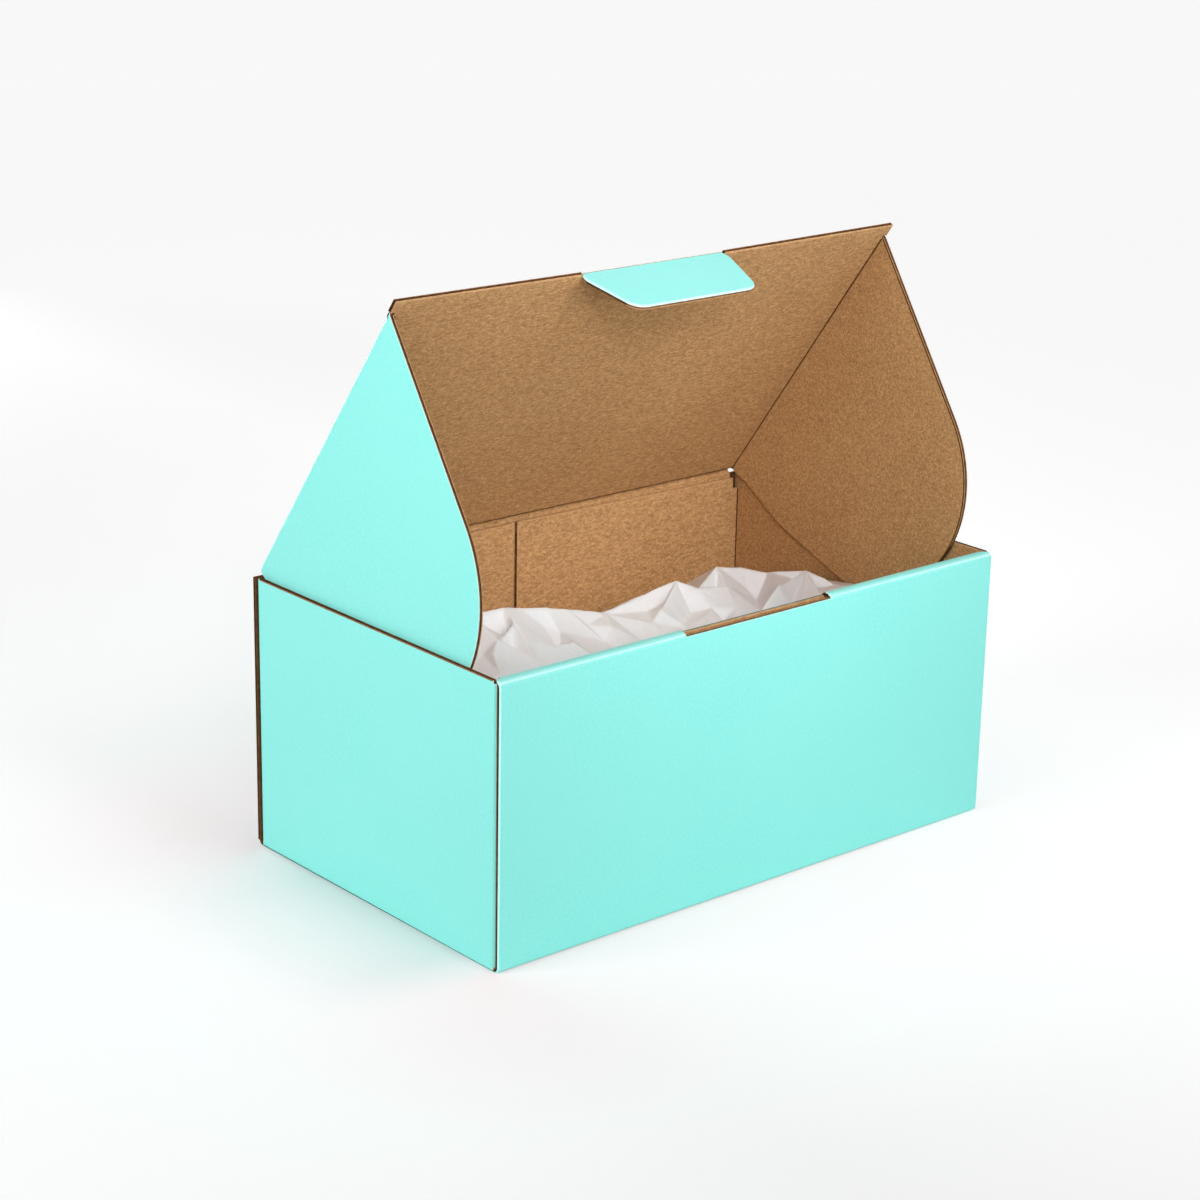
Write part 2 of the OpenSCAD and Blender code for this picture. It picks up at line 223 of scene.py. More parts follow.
def mark_sides(bm, groups, facing):
    """Flat stretches with one board's thickness behind them are sides of the sheet, the rest is raw."""
    tree = BVHTree.FromBMesh(bm)

    def one_board_thick(f):
        hit = tree.ray_cast(f.calc_center_median() - f.normal * 1e-5, -f.normal)
        return hit[0] and 0.83 * BOARD < hit[3] < 1.17 * BOARD

    for group in groups:
        whole = area(group)
        kind = RAW
        if area(f for f in group if one_board_thick(f)) > 0.5 * whole:
            outside = area(f for f in group if facing(f.calc_center_median(), f.normal) > 0)
            kind = PRINT if outside > 0.5 * whole else KRAFT
        for f in group:
            f.material_index = kind


def how_they_meet(f, g):
    turn = g.normal.dot(f.normal)
    if turn > GOES_ON:
        return "round"
    return "slanted" if abs(turn) > SQUARE_TO else "square"


def mark_again(group):
    """A raw stretch that goes on smoothly from one side joins it, and one cut at a slant is marked so."""
    length = {"round": 0, "slanted": 0, "square": 0}
    kinds = set()
    for f in group:
        for e in f.edges:
            for g in e.link_faces:
                if g.material_index in RIM_OF:
                    how = how_they_meet(f, g)
                    length[how] += e.calc_length()
                    if how == "round":
                        kinds.add(g.material_index)
    mark = RAW
    if length["round"] > length["square"] and len(kinds) == 1:
        mark = kinds.pop()
    elif length["slanted"] > length["square"]:
        mark = SLANT
    for f in group:
        f.material_index = mark


def mark_faces(bm, facing):
    """Every face gets its mark: printed or plain side, raw edge, or slanted edge."""
    groups = flat_groups(bm.faces[:])
    mark_sides(bm, groups, facing)
    for _ in range(3):
        for group in groups:
            if group[0].material_index == RAW:
                mark_again(group)


def is_border(e, kind):
    return any(g.material_index != kind for g in e.link_faces)


def inward_in(f, e):
    """Direction in the face, square to its edge, away from that edge."""
    a, b = (v.co for v in e.verts)
    along = (b - a).normalized()
    way = f.normal.cross(along)
    return way if way.dot(f.calc_center_median() - a) > 0 else -way


def mitre(ways):
    """One step inwards from a corner that keeps the same distance from all its edges."""
    way = sum(ways, Vector())
    step = way * (len(ways) / max(way.length_squared, 0.1))
    return step.normalized() * 1.5 if step.length > 1.5 else step


def rims(bm, crush):
    """The bands that the die pressed down along the edges of both sides. For a place on such an edge and
    a side: where its band ends in the sheet, and which way is down into the board. For a place on a raw
    edge: how far it is pressed."""
    inner, down, pressed = {}, {}, {}
    for v in bm.verts:
        marks = {f.material_index for f in v.link_faces}
        for kind in (PRINT, KRAFT):
            faces = [f for f in v.link_faces if f.material_index == kind]
            ways = [inward_in(f, e) for f in faces for e in f.edges if v in e.verts and is_border(e, kind)]
            if not ways:
                continue
            inner[v, kind] = v.co + mitre(ways) * RIM
            down[v, kind] = -sum((f.normal * f.calc_area() for f in faces), Vector()).normalized()
            if RAW in marks and SLANT not in marks and v not in pressed:
                pressed[v] = down[v, kind] * crush(v.co)[kind]
    return inner, down, pressed


def paint_back_wall_shade_and_highlight(f):
    """Painted shade on the back wall's upright edges at the back corners, and a painted highlight on the
    rear flaps' top edges, as pale as their liner.
    """
    x, y, z = f.calc_center_median() / MM
    # painted shade at the back corners
    if y > 58.3 and abs(x) > 97.2 and f.material_index in (KRAFT, KRAFT_RIM):
        f.material_index = KRAFT_SHADE
    # painted highlight on the rear flaps' top edges
    elif 56.5 < y < 58.6 and z > 84 and f.material_index in (FLUTE, DEEP):
        f.material_index = KRAFT_RIM


def shades_on(f, g):
    marks = {f.material_index, g.material_index}
    one_side = len(marks) == 1 or any(marks <= side for side in SIDES)
    return one_side and f.normal.dot(g.normal) > SHADES_ON


class Sheet:
    """The board of one node: its printed and plain sides, and its raw edges cut open to the flutes."""

    def __init__(self, node, facing, across, crush, shape):
        self.node, self.across, self.crush = node, across, crush
        self.source = bmesh.new()
        self.source.from_mesh(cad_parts[node].data)
        bmesh.ops.remove_doubles(self.source, verts=self.source.verts, dist=2e-6)
        bmesh.ops.triangulate(self.source, faces=self.source.faces)
        self.source.normal_update()
        mark_faces(self.source, facing)
        shape(self.source)
        self.source.normal_update()
        self.inner, self.down, self.pressed = rims(self.source, crush)
        self.made = bmesh.new()

    def poly(self, points, kind):
        f = self.made.faces.new([self.made.verts.new(p) for p in points])
        f.material_index = kind

    def edge(self, v):
        return v.co + self.pressed[v] if v in self.pressed else v.co

    def kind_of(self, f):
        """The material of a face of one side: flat, in a crease with painted shade on the plain side or a
        painted highlight on the front strip's outer crease, painted lighter over the front wall's top, or
        the tab's print with a painted sheen.
        """
        kind, up = f.material_index, f.normal.z
        _, y, z = f.calc_center_median() / MM
        in_body = self.node == "box_body"
        # the tab's print is the same ink, painted paler and less saturated as a sheen
        if self.node == "tuck_tab" and kind == PRINT:
            return PRINT_TAB_SHEEN
        # the front wall's up-facing top is painted lighter, as light falling from above
        if in_body and kind == PRINT and up > 0.8 and z > 87:
            return PRINT_LIT_TOP
        square = max(abs(c) for c in f.normal) > 0.999
        if square or not in_body and abs(f.normal.x) < 0.01:
            return kind
        # the plain side in a crease is painted dark as shade
        if kind == KRAFT:
            return KRAFT_SHADE
        # painted highlight along the front strip's outer crease, on the faces that tilt up and forward
        return PRINT_HIGHLIGHT if in_body and y < -58 and 0.58 < up < 0.8 else PRINT

    def rim_kind(self, f, e):
        """The material of the band between a face and its edge; along the lid's hinge crease and the
        wings' raw edges, the plain side's band is painted dark as a shadow line.
        """
        kind = f.material_index
        raw = any(g.material_index == RAW for g in e.link_faces)
        a, b = (v.co / MM for v in e.verts)
        on_wing = self.node == "lid" and abs(f.normal.x) > 0.7
        at_hinge = self.node == "lid" and min(a.y, b.y) > 54 and not on_wing
        in_slot = self.node == "box_body" and -57 < a.y < -55 and a.z > 84
        # painted shadow lines along the lid's hinge crease and the wings' raw edges
        if kind == KRAFT and (at_hinge or raw and on_wing):
            return KRAFT_SHADE
        if kind == PRINT and in_slot:
            return CUT
        return RIM_OF[kind] if raw else kind

    def add_side(self, f):
        """A face of one side, with the bands along the edges that it shares with other kinds."""
        kind = f.material_index
        self.poly([self.inner.get((v, kind), v.co) for v in f.verts], self.kind_of(f))
        for e in f.edges:
            if is_border(e, kind):
                a, b = e.verts
                band = [self.edge(a), self.edge(b), self.inner[b, kind], self.inner[a, kind]]
                self.poly(band, self.rim_kind(f, e))

    def borders(self, group):
        """Where a raw edge meets the two sides: its face, the edge, the side, the way in which the flutes
        follow each other, and whether the cut crosses them."""
        found = []
        for f in group:
            for e in f.edges:
                for g in e.link_faces:
                    square = abs(g.normal.dot(f.normal)) < SQUARE_TO
                    if g.material_index in RIM_OF and square:
                        step = self.across(g.calc_center_median(), g.normal)
                        run = e.verts[1].co - e.verts[0].co
                        crosses = run.length > 1e-6 and abs(run.normalized().dot(step)) > 0.15
                        found.append((f, e, g.material_index, step, crosses))
        return found

    def add_raw_edge(self, group):
        """The liners' cuts and the hollow between them, with the wave where the cut crosses the flutes."""
        borders = self.borders(group)
        depth = DEPTH if any(crosses for *_, crosses in borders) else SHUT
        for f in group:
            # the hollow's floor stands in for the flutes' tunnels and is painted dark as their shade
            self.poly([self.edge(v) - f.normal * depth for v in f.verts], DEEP)
        for f, e, kind, step, crosses in borders:
            ways = [self.down[v, kind] for v in e.verts]
            ways = [(d - f.normal * d.dot(f.normal)).normalized() for d in ways]
            a, b = (self.edge(v) for v in e.verts)
            rim = [a + ways[0] * LINER, b + ways[1] * LINER]
            self.poly([a, b, rim[1], rim[0]], LINER_CUT[kind, crosses])
            self.poly([rim[0], rim[1], rim[1] - f.normal * depth, rim[0] - f.normal * depth], FLUTE)
            if kind == PRINT and crosses:
                self.add_wave(rim, ways, f, step)

    def add_wave(self, rim, ways, f, step):
        """The fluted paper's wave along the printed liner, from just inside the cut inwards."""
        count = max(1, round((rim[1] - rim[0]).length / WAVE_STEP))
        pressing = self.crush(rim[0])
        room = BOARD - pressing[PRINT] - pressing[KRAFT] - 2 * LINER
        rows = []
        for i in range(count + 1):
            t = i / count
            top = rim[0].lerp(rim[1], t)
            d = ways[0].lerp(ways[1], t).normalized()
            row = []
            for depth in (0.05 * MM, DEPTH):
                q = top - f.normal * depth
                turn = 0.5 + 0.5 * math.sin(2 * math.pi * q.dot(step) / PITCH)
                h = MEDIUM / 2 + turn * (room - MEDIUM)
                row += [q + d * (h - MEDIUM / 2), q + d * (h + MEDIUM / 2)]
            rows.append(row)
        for r, s in zip(rows, rows[1:]):
            self.poly([r[0], s[0], s[1], r[1]], FLUTE)
            self.poly([r[0], s[0], s[2], r[2]], FLUTE)
            self.poly([r[1], s[1], s[3], r[3]], FLUTE)

    def mesh(self, name):
        """The finished mesh, smooth over the creases and sharp along all other edges."""
        bm = self.made
        bmesh.ops.remove_doubles(bm, verts=bm.verts, dist=1e-6)
        bmesh.ops.dissolve_degenerate(bm, dist=1e-6, edges=bm.edges)
        bmesh.ops.recalc_face_normals(bm, faces=bm.faces)
        for f in bm.faces:
            f.smooth = True
            if self.node == "box_body":
                paint_back_wall_shade_and_highlight(f)
        for e in bm.edges:
            e.smooth = len(e.link_faces) == 2 and shades_on(*e.link_faces)
        mesh = bpy.data.meshes.new(name)
        bm.to_mesh(mesh)
        bm.free()
        self.source.free()
        return mesh


def board(name, node, body, facing, across, crush, shape):
    """The dressed sheet in place of the node's solid. facing, across and crush are functions of a place,
    and shape moves the points of the marked solid."""
    sheet = Sheet(node, facing, across, crush, shape)
    for f in sheet.source.faces:
        if f.material_index == SLANT:
            sheet.poly([v.co for v in f.verts], KRAFT)
        elif f.material_index != RAW:
            sheet.add_side(f)
    for group in flat_groups([f for f in sheet.source.faces if f.material_index == RAW]):
        sheet.add_raw_edge(group)
    mesh = sheet.mesh(name)
    obj = add_object(name, mesh)
    for m in BOARD_MATERIALS:
        mesh.materials.append(m)
    weights = obj.modifiers.new("flat faces stay flat", "WEIGHTED_NORMAL")
    weights.keep_sharp = True
    weights.weight = 100
    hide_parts(node)
    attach(obj, body)
    return obj


def linear(v):
    v /= 255
    return v / 12.92 if v <= 0.04045 else ((v + 0.055) / 1.055) ** 2.4


def srgb(r, g, b):
    return (linear(r), linear(g), linear(b), 1)


WHITE = (1, 1, 1, 1)


class Shader:
    """Small helper that builds one material's nodes."""

    def __init__(self, name, rough=0.6, spec=0.3):
        self.material = bpy.data.materials.new(name)
        self.material.use_nodes = True
        self.nodes = self.material.node_tree.nodes
        self.links = self.material.node_tree.links
        self.nodes.clear()
        self.out = self.nodes.new("ShaderNodeOutputMaterial")
        self.bsdf = self.nodes.new("ShaderNodeBsdfPrincipled")
        self.bsdf.inputs["Roughness"].default_value = rough
        self.bsdf.inputs["Specular IOR Level"].default_value = spec
        self.links.new(self.bsdf.outputs[0], self.out.inputs[0])
        coords = self.nodes.new("ShaderNodeTexCoord")
        self.place = coords.outputs["Object"]

    def put(self, value, socket):
        if isinstance(value, (int, float, tuple)):
            socket.default_value = value
        else:
            self.links.new(value, socket)

    def scaled(self, x, y, z):
        n = self.nodes.new("ShaderNodeMapping")
        n.inputs["Scale"].default_value = (x, y, z)
        self.links.new(self.place, n.inputs["Vector"])
        return n.outputs[0]

    def split(self):
        """The place's X and Y."""
        n = self.nodes.new("ShaderNodeSeparateXYZ")
        self.links.new(self.place, n.inputs[0])
        return n.outputs["X"], n.outputs["Y"]

    def noise(self, scale, detail=4.0, rough=0.55, place=None, distortion=0.0):
        n = self.nodes.new("ShaderNodeTexNoise")
        n.inputs["Scale"].default_value = scale
        n.inputs["Detail"].default_value = detail
        n.inputs["Roughness"].default_value = rough
        n.inputs["Distortion"].default_value = distortion
        self.links.new(place or self.place, n.inputs["Vector"])
        return n.outputs["Fac"]

    def spread(self, value, low, high, to_low=0.0, to_high=1.0):
        n = self.nodes.new("ShaderNodeMapRange")
        self.put(value, n.inputs["Value"])
        n.inputs["From Min"].default_value = low
        n.inputs["From Max"].default_value = high
        n.inputs["To Min"].default_value = to_low
        n.inputs["To Max"].default_value = to_high
        return n.outputs[0]

    def math(self, kind, a, b=0.0):
        n = self.nodes.new("ShaderNodeMath")
        n.operation = kind
        self.put(a, n.inputs[0])
        self.put(b, n.inputs[1])
        return n.outputs[0]

    def times(self, a, b):
        return self.math("MULTIPLY", a, b)

    def distance(self, place):
        n = self.nodes.new("ShaderNodeVectorMath")
        n.operation = "DISTANCE"
        n.inputs[1].default_value = place
        self.links.new(self.place, n.inputs[0])
        return n.outputs["Value"]

    def mix(self, a, b, factor):
        n = self.nodes.new("ShaderNodeMix")
        n.data_type = "RGBA"
        self.put(factor, n.inputs[0])
        self.put(a, n.inputs[6])
        self.put(b, n.inputs[7])
        return n.outputs[2]

    def bump(self, height, strength, distance=0.0002, over=None):
        n = self.nodes.new("ShaderNodeBump")
        n.inputs["Strength"].default_value = strength
        n.inputs["Distance"].default_value = distance
        self.links.new(height, n.inputs["Height"])
        if over:
            self.links.new(over, n.inputs["Normal"])
        return n.outputs[0]

    def blend(self, first, second, factor):
        n = self.nodes.new("ShaderNodeMixShader")
        self.put(factor, n.inputs[0])
        self.links.new(first, n.inputs[1])
        self.links.new(second, n.inputs[2])
        return n.outputs[0]

    def finish(self, colour, normal=None, rough=None):
        self.put(colour, self.bsdf.inputs["Base Color"])
        if normal:
            self.links.new(normal, self.bsdf.inputs["Normal"])
        if rough:
            self.links.new(rough, self.bsdf.inputs["Roughness"])
        return self.material


def printed_paper(name, base, light, worn):
    s = Shader(name, rough=0.52, spec=0.28)
    cloud = s.spread(s.noise(18, 3), 0.35, 0.65)
    grain = s.spread(s.noise(1000, 3, 0.7), 0.38, 0.62)
    speck = s.spread(s.noise(420, 3, 0.7), 0.62, 0.78)
    colour = s.mix(base, light, s.times(cloud, 0.5))
    colour = s.mix(colour, light, s.times(grain, 0.9))
    colour = s.mix(colour, WHITE, s.times(speck, worn))
    fine = s.bump(s.noise(900, 3, 0.65), 0.16, 0.00012)
    wide = s.bump(s.noise(45, 2), 0.10, 0.0012, over=fine)
    rough = s.spread(s.noise(120, 3), 0.3, 0.7, 0.46, 0.6)
    return s.finish(colour, wide, rough)


def kraft_paper(name, dark, mid, light):
    s = Shader(name, rough=0.82, spec=0.16)
    cloud = s.spread(s.noise(24, 3, 0.6), 0.34, 0.66)
    mottle = s.spread(s.noise(1000, 3, 0.7, distortion=1.2), 0.4, 0.6)
    strands = s.spread(s.noise(1900, 3, 0.75, distortion=2.0), 0.4, 0.6)
    across = s.spread(s.noise(1, 3, 0.7, s.scaled(500, 1400, 1400), 0.5), 0.42, 0.6)
    speck = s.spread(s.noise(560, 3, 0.75, distortion=1.0), 0.68, 0.80)
    colour = s.mix(mid, light, s.times(cloud, 0.22))
    colour = s.mix(colour, dark, s.times(mottle, 0.42))
    colour = s.mix(colour, light, s.times(strands, 0.95))
    colour = s.mix(colour, dark, s.times(across, 0.42))
    colour = s.mix(colour, dark, s.times(speck, 0.9))
    fine = s.bump(s.noise(800, 4, 0.7), 0.25, 0.0002)
    wide = s.bump(s.noise(60, 2), 0.12, 0.001, over=fine)
    return s.finish(colour, wide)


def cut_paper(name, dark, light, scale=500):
    s = Shader(name, rough=0.9, spec=0.1)
    fibre = s.spread(s.noise(scale, 4, 0.75), 0.3, 0.7)
    return s.finish(s.mix(dark, light, fibre), s.bump(s.noise(scale * 2, 3, 0.7), 0.4, 0.0001))


BOARD_MATERIALS = [
    printed_paper("turquoise print", srgb(142, 240, 231), srgb(152, 245, 237), 0.04),
    kraft_paper("kraft liner", srgb(112, 73, 39), srgb(178, 131, 82), srgb(228, 183, 130)),
    # paler along a cut: worn print and a painted highlight
    printed_paper("turquoise print along a cut", srgb(180, 249, 243), srgb(204, 252, 248), 0.3),
    # paler along a cut: exposed fibres and a painted highlight
    cut_paper("kraft liner along a cut", srgb(176, 132, 88), srgb(214, 170, 124), 700),
    cut_paper("cut edge of the printed liner", srgb(128, 86, 58), srgb(172, 126, 92)),
    cut_paper("fluted paper", srgb(92, 60, 36), srgb(136, 96, 62)),
    # painted dark as the shade deep in the flutes
    cut_paper("inside of the flutes, painted dark as shade", srgb(44, 28, 17), srgb(70, 46, 28)),
    # painted highlight for the front strip's outer crease
    printed_paper("turquoise print with a painted highlight on a crease", srgb(184, 250, 245), srgb(208, 253, 249), 0.2),
    # painted shade for creases, gaps and shadow lines
    cut_paper("kraft liner painted dark as shade in folds and gaps", srgb(74, 47, 24), srgb(106, 72, 40)),
    # the print painted lighter for the front wall's up-facing top
    printed_paper("turquoise print painted lighter on the front's top", srgb(154, 245, 237), srgb(164, 248, 241), 0.1),
    # the same print, painted paler as a sheen on the tab
    printed_paper("turquoise print on the tab, with a painted sheen", srgb(149, 236, 228), srgb(160, 241, 234), 0.04),
]

board("box_board", "box_body", "box", out_of_body, across_body, crush_body, shape_front_corners)
board("lid_board", "lid", "lid", out_of_lid, across_lid, crush_lid, shape_lid)
board("tuck_tab_board", "tuck_tab", "tab", out_of_tab, across_tab, crush_tab, shape_tab)


def tissue_material():
    s = Shader("tissue paper", rough=0.5, spec=0.3)
    fibre = s.spread(s.noise(420, 4, 0.7), 0.35, 0.7)
    cloud = s.spread(s.noise(60, 4, 0.6, distortion=1.0), 0.35, 0.65)
    highlight_ridge = s.nodes.new("ShaderNodeNewGeometry").outputs["Pointiness"]
    x, _ = s.split()
    colour = s.mix(srgb(250, 250, 253), srgb(253, 252, 255), cloud)
    colour = s.mix(colour, WHITE, s.times(fibre, 0.35))
    # painted highlight: the sheet's sharp ridges are lighter
    colour = s.mix(colour, WHITE, s.spread(highlight_ridge, 0.51, 0.58, 0, 0.8))
    # painted shade: the sheet is greyer towards its right end
    colour = s.mix(colour, srgb(206, 199, 200), s.spread(x, 0.015, 0.06, 0, 0.6))
    wrinkle = s.bump(s.noise(150, 3, 0.6, distortion=1.5), 0.5, 0.0006)
    normal = s.bump(s.noise(500, 4, 0.7), 0.15, 0.0002, over=wrinkle)
    s.finish(colour, normal)
    glow = s.nodes.new("ShaderNodeBsdfTranslucent")
    glow.inputs["Color"].default_value = srgb(252, 250, 250)
    s.links.new(normal, glow.inputs["Normal"])
    clear = s.nodes.new("ShaderNodeBsdfTransparent")
    lit = s.blend(s.bsdf.outputs[0], glow.outputs[0], 0.06)
    s.links.new(s.blend(lit, clear.outputs[0], 0.01), s.out.inputs[0])
    return s.material


# The creases of the tissue paper that can be told apart, as places in mm
CREASES = [
    [
        (-97, 3, 84), (-78, -1, 85), (-65, -2, 85.2), (-51, -0.2, 84.1), (-44, 0, 82.7), (-34, 0, 80.8),
        (-25, 0.5, 78.3), (-9, 1, 73.6), (7, -2.9, 68.5), (20, -7.3, 64.4), (30, -14.1, 61),
    ],
    [
        (-9, 1, 73.6), (-9.5, 5, 71.9), (11, 7.5, 73.6), (29, 10.6, 74.5), (38, 10.4, 70.4),
        (48, 12.1, 75), (59, 11.8, 72.7), (67, 8.1, 70.3), (79, 2.3, 70.3), (86, -5.5, 65.9),
        (97, -12, 65),
    ],
    [(-44, 0, 82.7), (-52, -6.2, 81.8), (-63, -12.6, 80.1), (-68, -16.9, 77.7), (-70, -23.3, 73.8)],
    [(-44, 0, 82.7), (-48, -5.2, 80.7), (-52, -13.1, 77.4), (-54, -17.9, 74.4), (-52, -20.4, 70.8)],
    [(-52, -13.1, 77.4), (-43, -14.3, 74.3), (-35, -13.6, 74), (-36, -16.8, 70)],
    [(-35, -13.6, 74), (-46, -18.1, 70.2)],
    [(-9, 1, 73.6), (-13, -6.2, 72.1), (-16, -12.2, 67.2)],
    [(29, 10.6, 74.5), (12, -1.3, 71.6), (7, -2.9, 68.5)],
    [(29, 10.6, 74.5), (33, 4.2, 70.2), (35, -0.3, 66.8), (37, -3.5, 63)],
    [(48, 12.1, 75), (45, 4.1, 71.2), (42, -4.1, 66.4)],
    [(48, 12.1, 75), (34, 5.5, 72), (33, 4.2, 70.2)],
    [(35, -0.3, 66.8), (42, -4.1, 66.4), (52, -5.1, 63.5)],
    [(79, 2.3, 70.3), (60, -4.6, 70.5), (52, -5.1, 63.5)],
    [(79, 2.3, 70.3), (67, -9.3, 65.4)],
    [(79, 2.3, 70.3), (76, -8, 65.7)],
]
# Places between the creases and along the walls
HOLLOWS = [
    (-59, -2.6, 80), (-69, -13.2, 76.6), (-53, -6.4, 76), (-57, -11.2, 73.5), (-37, -2.5, 76.2),
    (-33, -5.5, 74.5), (-19, -2, 72.3), (-38, -12.2, 69.8), (-2, -7.6, 65.7), (22, 7, 70),
    (11, 4, 69.5), (29, 3.4, 65.7), (44, 8, 69), (58, 8, 66.5), (59, 4.4, 63.4), (64, -6.5, 63.6),
    (79, -1.5, 64.8), (20, -2.5, 64.6), (74, 3, 68), (-17, -7.5, 68.3), (-63, -23.2, 70.3),
    (-28, -16, 68.3), (-97, 57, 54), (-97, 30, 66), (-97, -25, 68), (-97, -56, 52), (-60, -56, 54),
    (-20, -56, 50), (20, -56, 46), (60, -56, 46), (97, -56, 46), (97, -35, 56), (97, 20, 60),
    (97, 40, 54), (97, 57, 50), (50, 57, 50), (10, 57, 50), (-40, 57, 54), (-80, -36, 64),
    (-45, -36, 62), (0, -30, 57), (30, -32, 54), (60, -30, 55), (5, 26, 62), (-20, 20, 66),
    (-50, 20, 71), (-75, 22, 71), (-50, 38, 62), (40, 36, 57), (70, 38, 56), (62, 24, 63), (28, 24, 64),
    (84, 16, 64),
]


def surface(points, edges):
    """Height of the folded net over a place, as a function of the place."""
    flat = [Vector(p[:2]) for p in points]
    verts, _, faces, origin, *_ = delaunay_2d_cdt(flat, edges, [], 0, 1e-9)
    heights = [points[o[0]][2] if o else 0.06 for o in origin]
    tree = BVHTree.FromPolygons([(v.x, v.y, h) for v, h in zip(verts, heights)], faces)
    return lambda x, y: tree.ray_cast(Vector((x, y, 1)), -Z)[0].z


def folded():
    """Heights of the large folds, between the creases and the hollows."""
    points, edges = [], []

    def place(p):
        p = Vector(p) * MM
        if p not in points:
            points.append(p)
        return points.index(p)

    for crease in CREASES:
        places = [place(p) for p in crease]
        edges += list(zip(places, places[1:]))
    for p in HOLLOWS:
        place(p)
    return surface(points, edges)


def crumpled(seed, step, lift, low, high):
    """Heights of small facets between scattered points."""
    rng = random.Random(seed)
    points = []
    for j in range(-1, math.ceil((high.y - low.y) / step) + 2):
        for i in range(-1, math.ceil((high.x - low.x) / step) + 2):
            x = low.x + (i + rng.uniform(-0.45, 0.45)) * step
            y = low.y + (j + rng.uniform(-0.45, 0.45)) * step
            points.append(Vector((x, y, rng.uniform(-lift, lift))))
    return surface(points, [])


def tissue_points(low, high, nx, ny):
    """Grid of places on the crumpled sheet: the large folds, and small facets that come and go."""
    base = folded()
    small = crumpled(8, 7 * MM, 0.5 * MM, low, high)
    fine = crumpled(2, 3 * MM, 0.2 * MM, low, high)
    noise.seed_set(1)  # without a seed, noise_vector differs from run to run
    points = []
    for j in range(ny + 1):
        for i in range(nx + 1):
            x = low.x + i / nx * (high.x - low.x)
            y = low.y + j / ny * (high.y - low.y)
            wide = noise.noise_vector(Vector((x * 30, y * 30, 0.5))) * 1.2 * MM
            bend = noise.noise_vector(Vector((x * 70, y * 70, 0.5))) * 2.0 * MM
            z = base(x + wide.x * 0.4, y + wide.y * 0.4)
            x2 = min(max(x + bend.x, low.x), high.x)
            y2 = min(max(y + bend.y, low.y), high.y)
            rough = 0.35 + 0.65 * max(0, noise.noise(Vector((x * 25, y * 25, 3)))) * 2
            z += (small(x2, y2) + fine(x2, y2)) * min(rough, 1.2)
            points.append(Vector((x, y, z)))
    return points


def tissue():
    low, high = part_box("tissue_paper")
    nx, ny = 400, 230
    row = nx + 1
    faces = [(a, a + 1, a + row + 1, a + row) for j in range(ny) for a in range(j * row, j * row + nx)]
    mesh = bpy.data.meshes.new("tissue_sheet")
    mesh.from_pydata(tissue_points(low, high, nx, ny), [], faces)
    mesh.update()
    for p in mesh.polygons:
        p.use_smooth = True
    obj = add_object("tissue_sheet", mesh)
    mesh.materials.append(tissue_material())
    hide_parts("tissue_paper")
    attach(obj, "box")


tissue()


def aim(obj, place, target):
    obj.location = place
    obj.rotation_euler = (Vector(place) - Vector(target)).to_track_quat("Z", "Y").to_euler()


def sun(name, azimuth, elevation, strength):
    """A wide soft sun. Azimuth 0 is in front of the box and -90 at its left."""
    a, e = math.radians(azimuth), math.radians(elevation)
    data = bpy.data.lights.new(name, "SUN")
    data.energy = strength * math.pi
    data.angle = math.radians(50)
    place = (math.sin(a) * math.cos(e), -math.cos(a) * math.cos(e), math.sin(e))
    aim(add_object(name, data), place, (0, 0, 0))


def softbox(name, place, target, size, watts, spread=180):
    """A square lamp that the camera doesn't see. spread is the angle of its beam."""
    data = bpy.data.lights.new(name, "AREA")
    data.shape = "SQUARE"
    data.size = size
    data.energy = watts
    data.spread = math.radians(spread)
    lamp = add_object(name, data)
    aim(lamp, place, target)
    lamp.visible_camera = False


def floor_glow(s):
    """What the floor adds for the camera, as painted light and shade: whiter at the right and far away,
    greyer next to the left wall and in a spot behind the box as a painted shadow, and warmer close to the
    box, against its turquoise light."""
    x, y = s.split()
    past_x = s.math("MAXIMUM", s.math("SUBTRACT", s.math("ABSOLUTE", x), 0.1), 0.0)
    past_y = s.math("MAXIMUM", s.math("SUBTRACT", s.math("ABSOLUTE", y), 0.06), 0.0)
    away = s.math("SQRT", s.math("ADD", s.times(past_x, past_x), s.times(past_y, past_y)))
    # painted lighter towards the right and far away
    level = s.math("ADD", s.spread(x, -0.1, 0.19, 0.30, 0.52), s.spread(away, 0.6, 1.6, 0, 0.03))
    # painted shade in a spot behind the box
    shade_behind_box = s.spread(s.distance((0.13, 0.48, 0)), 0.05, 0.35, 0.09, 0)
    level = s.math("SUBTRACT", level, shade_behind_box)
    # painted shadow next to the left wall
    shadow_by_left_wall = s.times(s.spread(x, -0.1, -0.085, 0.95, 0), s.spread(away, 0, 0.055, 1, 0))
    along = s.times(s.spread(y, -0.06, -0.04), s.spread(y, 0.03, 0.065, 1, 0.3))
    strength = s.times(level, s.math("SUBTRACT", 1.0, s.times(shadow_by_left_wall, along)))
    # painted warmth close to the box, against its turquoise bounce light
    warmth_near_box = s.times(s.spread(away, 0, 0.09, 1, 0), s.spread(x, 0.05, 0.11, 1, 0))
    glow = s.nodes.new("ShaderNodeEmission")
    s.links.new(strength, glow.inputs["Strength"])
    s.links.new(s.mix((1, 0.985, 0.985, 1), (1, 0.5, 0.55, 1), warmth_near_box), glow.inputs["Color"])
    return glow.outputs[0]


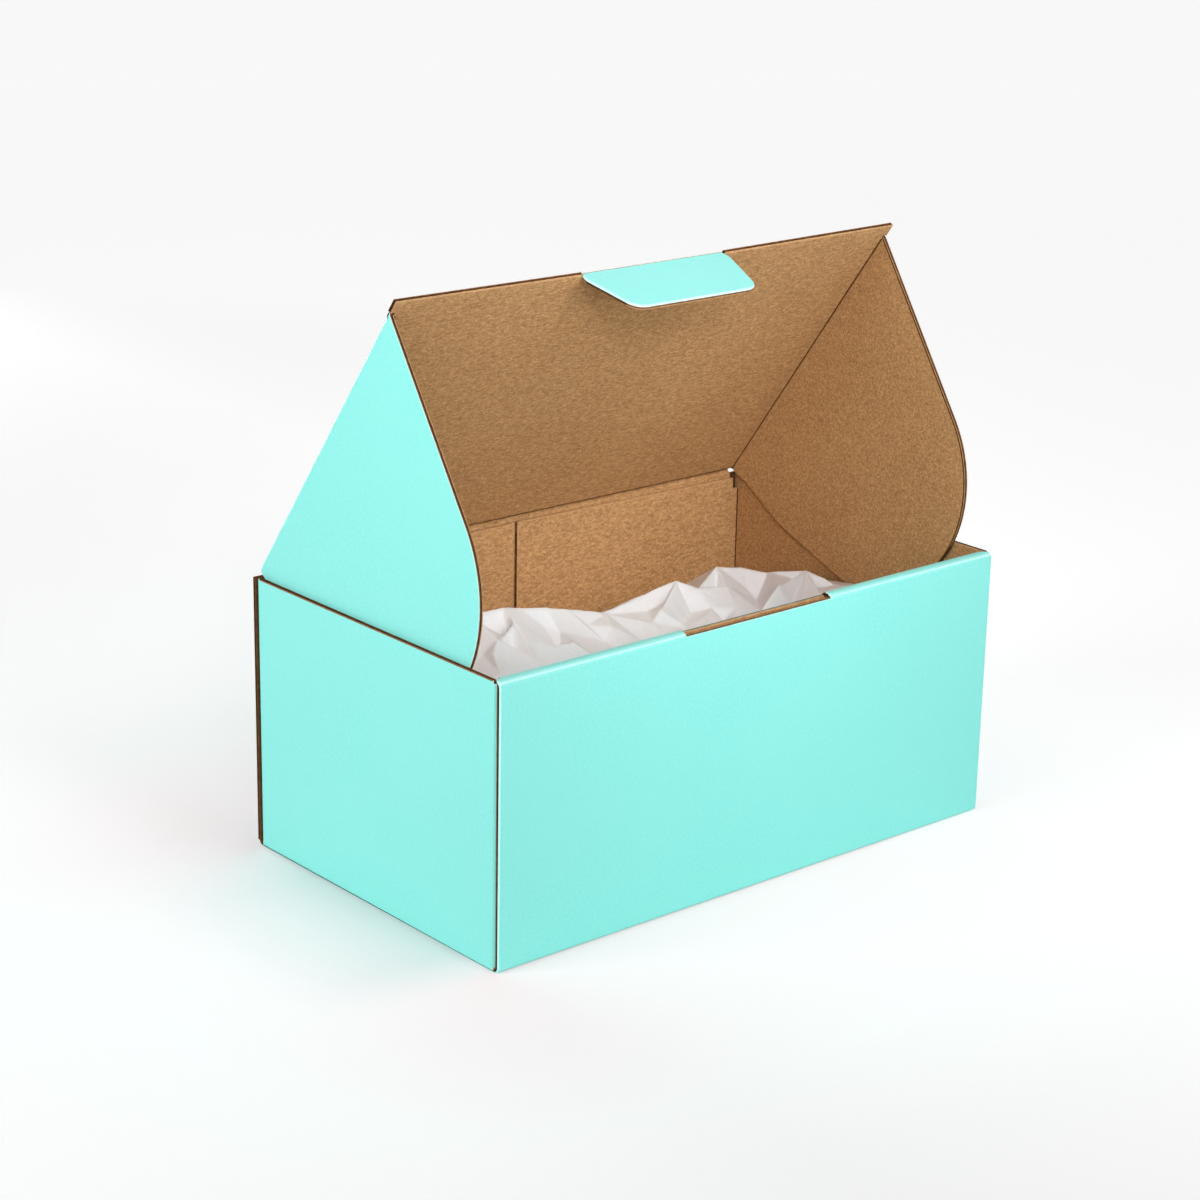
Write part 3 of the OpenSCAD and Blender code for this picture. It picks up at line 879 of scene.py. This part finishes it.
def white_floor():
    """A pale floor that looks white to the camera and keeps the box's shadow."""
    r = 14
    mesh = bpy.data.meshes.new("floor")
    mesh.from_pydata([(-r, -r, 0), (r, -r, 0), (r, r, 0), (-r, r, 0)], [], [(0, 1, 2, 3)])
    floor = add_object("floor", mesh)
    floor.location.z = -0.1 * MM  # just below the box's bottom
    s = Shader("white floor", rough=0.6, spec=0.1)
    s.finish((0.9, 0.9, 0.9, 1))
    both = s.nodes.new("ShaderNodeAddShader")
    s.links.new(s.bsdf.outputs[0], both.inputs[0])
    s.links.new(floor_glow(s), both.inputs[1])
    path = s.nodes.new("ShaderNodeLightPath").outputs
    seen = s.math("MAXIMUM", path["Is Camera Ray"], path["Is Glossy Ray"])
    seen = s.math("MAXIMUM", seen, path["Is Transmission Ray"])
    s.links.new(s.blend(s.bsdf.outputs[0], both.outputs[0], seen), s.out.inputs[0])
    mesh.materials.append(s.material)


def studio():
    white_floor()
    world = bpy.data.worlds.new("studio")
    bpy.context.scene.world = world
    world.use_nodes = True
    world.node_tree.nodes["Background"].inputs[0].default_value = WHITE
    world.node_tree.nodes["Background"].inputs[1].default_value = 0.32
    # Name, azimuth, elevation and strength
    sun("left window", -80, 20, 0.044)
    sun("middle window", -45, 18, 0.053)
    sun("front window", -15, 15, 0.344)
    # Name, place, target, size, watts and beam
    softbox("left", (-0.8, 0.1, 0.5), (0, 0, 0.1), 0.5, 2.59)
    softbox("near", (0.1, -0.25, 0.32), (0, 0, 0.1), 0.3, 0.125)
    softbox("left wing", (-0.6, -0.25, 0.3), (-0.05, 0, 0.13), 0.15, 0.013, 36)
    softbox("high on the inside", (0, -0.5, 0.62), (0, 0, 0.13), 0.15, 0.045, 34)
    softbox("right on the inside", (0.15, -0.7, 0.26), (0, 0.04, 0.19), 0.12, 0.013, 22)
    softbox("behind", (0.1, 0.95, 0.12), (0, 0.06, 0.1), 0.25, 0.3, 60)
    softbox("left on the inside", (-0.35, -0.55, 0.45), (0.03, 0.02, 0.15), 0.12, 0.034, 24)


studio()

# The camera, fitted to the photo
FRAME_PIXELS = 1200
FOCAL_PIXELS = 2879.449
AZIMUTH, ELEVATION, ROLL = math.radians(-40.754), math.radians(18.186), math.radians(1.109)
CAMERA_PLACE = Vector((-563.417, -639.405, 356.108)) * MM


def camera():
    level = math.cos(ELEVATION)
    back = Vector((math.sin(AZIMUTH) * level, -math.cos(AZIMUTH) * level, math.sin(ELEVATION)))
    ahead = -back
    right = ahead.cross(Z).normalized()
    up = right.cross(ahead)
    c, k = math.cos(ROLL), math.sin(ROLL)
    right, up = right * c + up * k, up * c - right * k
    data = bpy.data.cameras.new("camera")
    data.sensor_width = 36
    data.lens = FOCAL_PIXELS / FRAME_PIXELS * 36
    data.clip_start, data.clip_end = 0.01, 50
    obj = add_object("camera", data)
    turn = Matrix((right, up, back)).transposed().to_4x4()
    obj.matrix_world = Matrix.Translation(CAMERA_PLACE) @ turn
    bpy.context.scene.camera = obj


camera()
bpy.context.scene.view_settings.view_transform = "Standard"
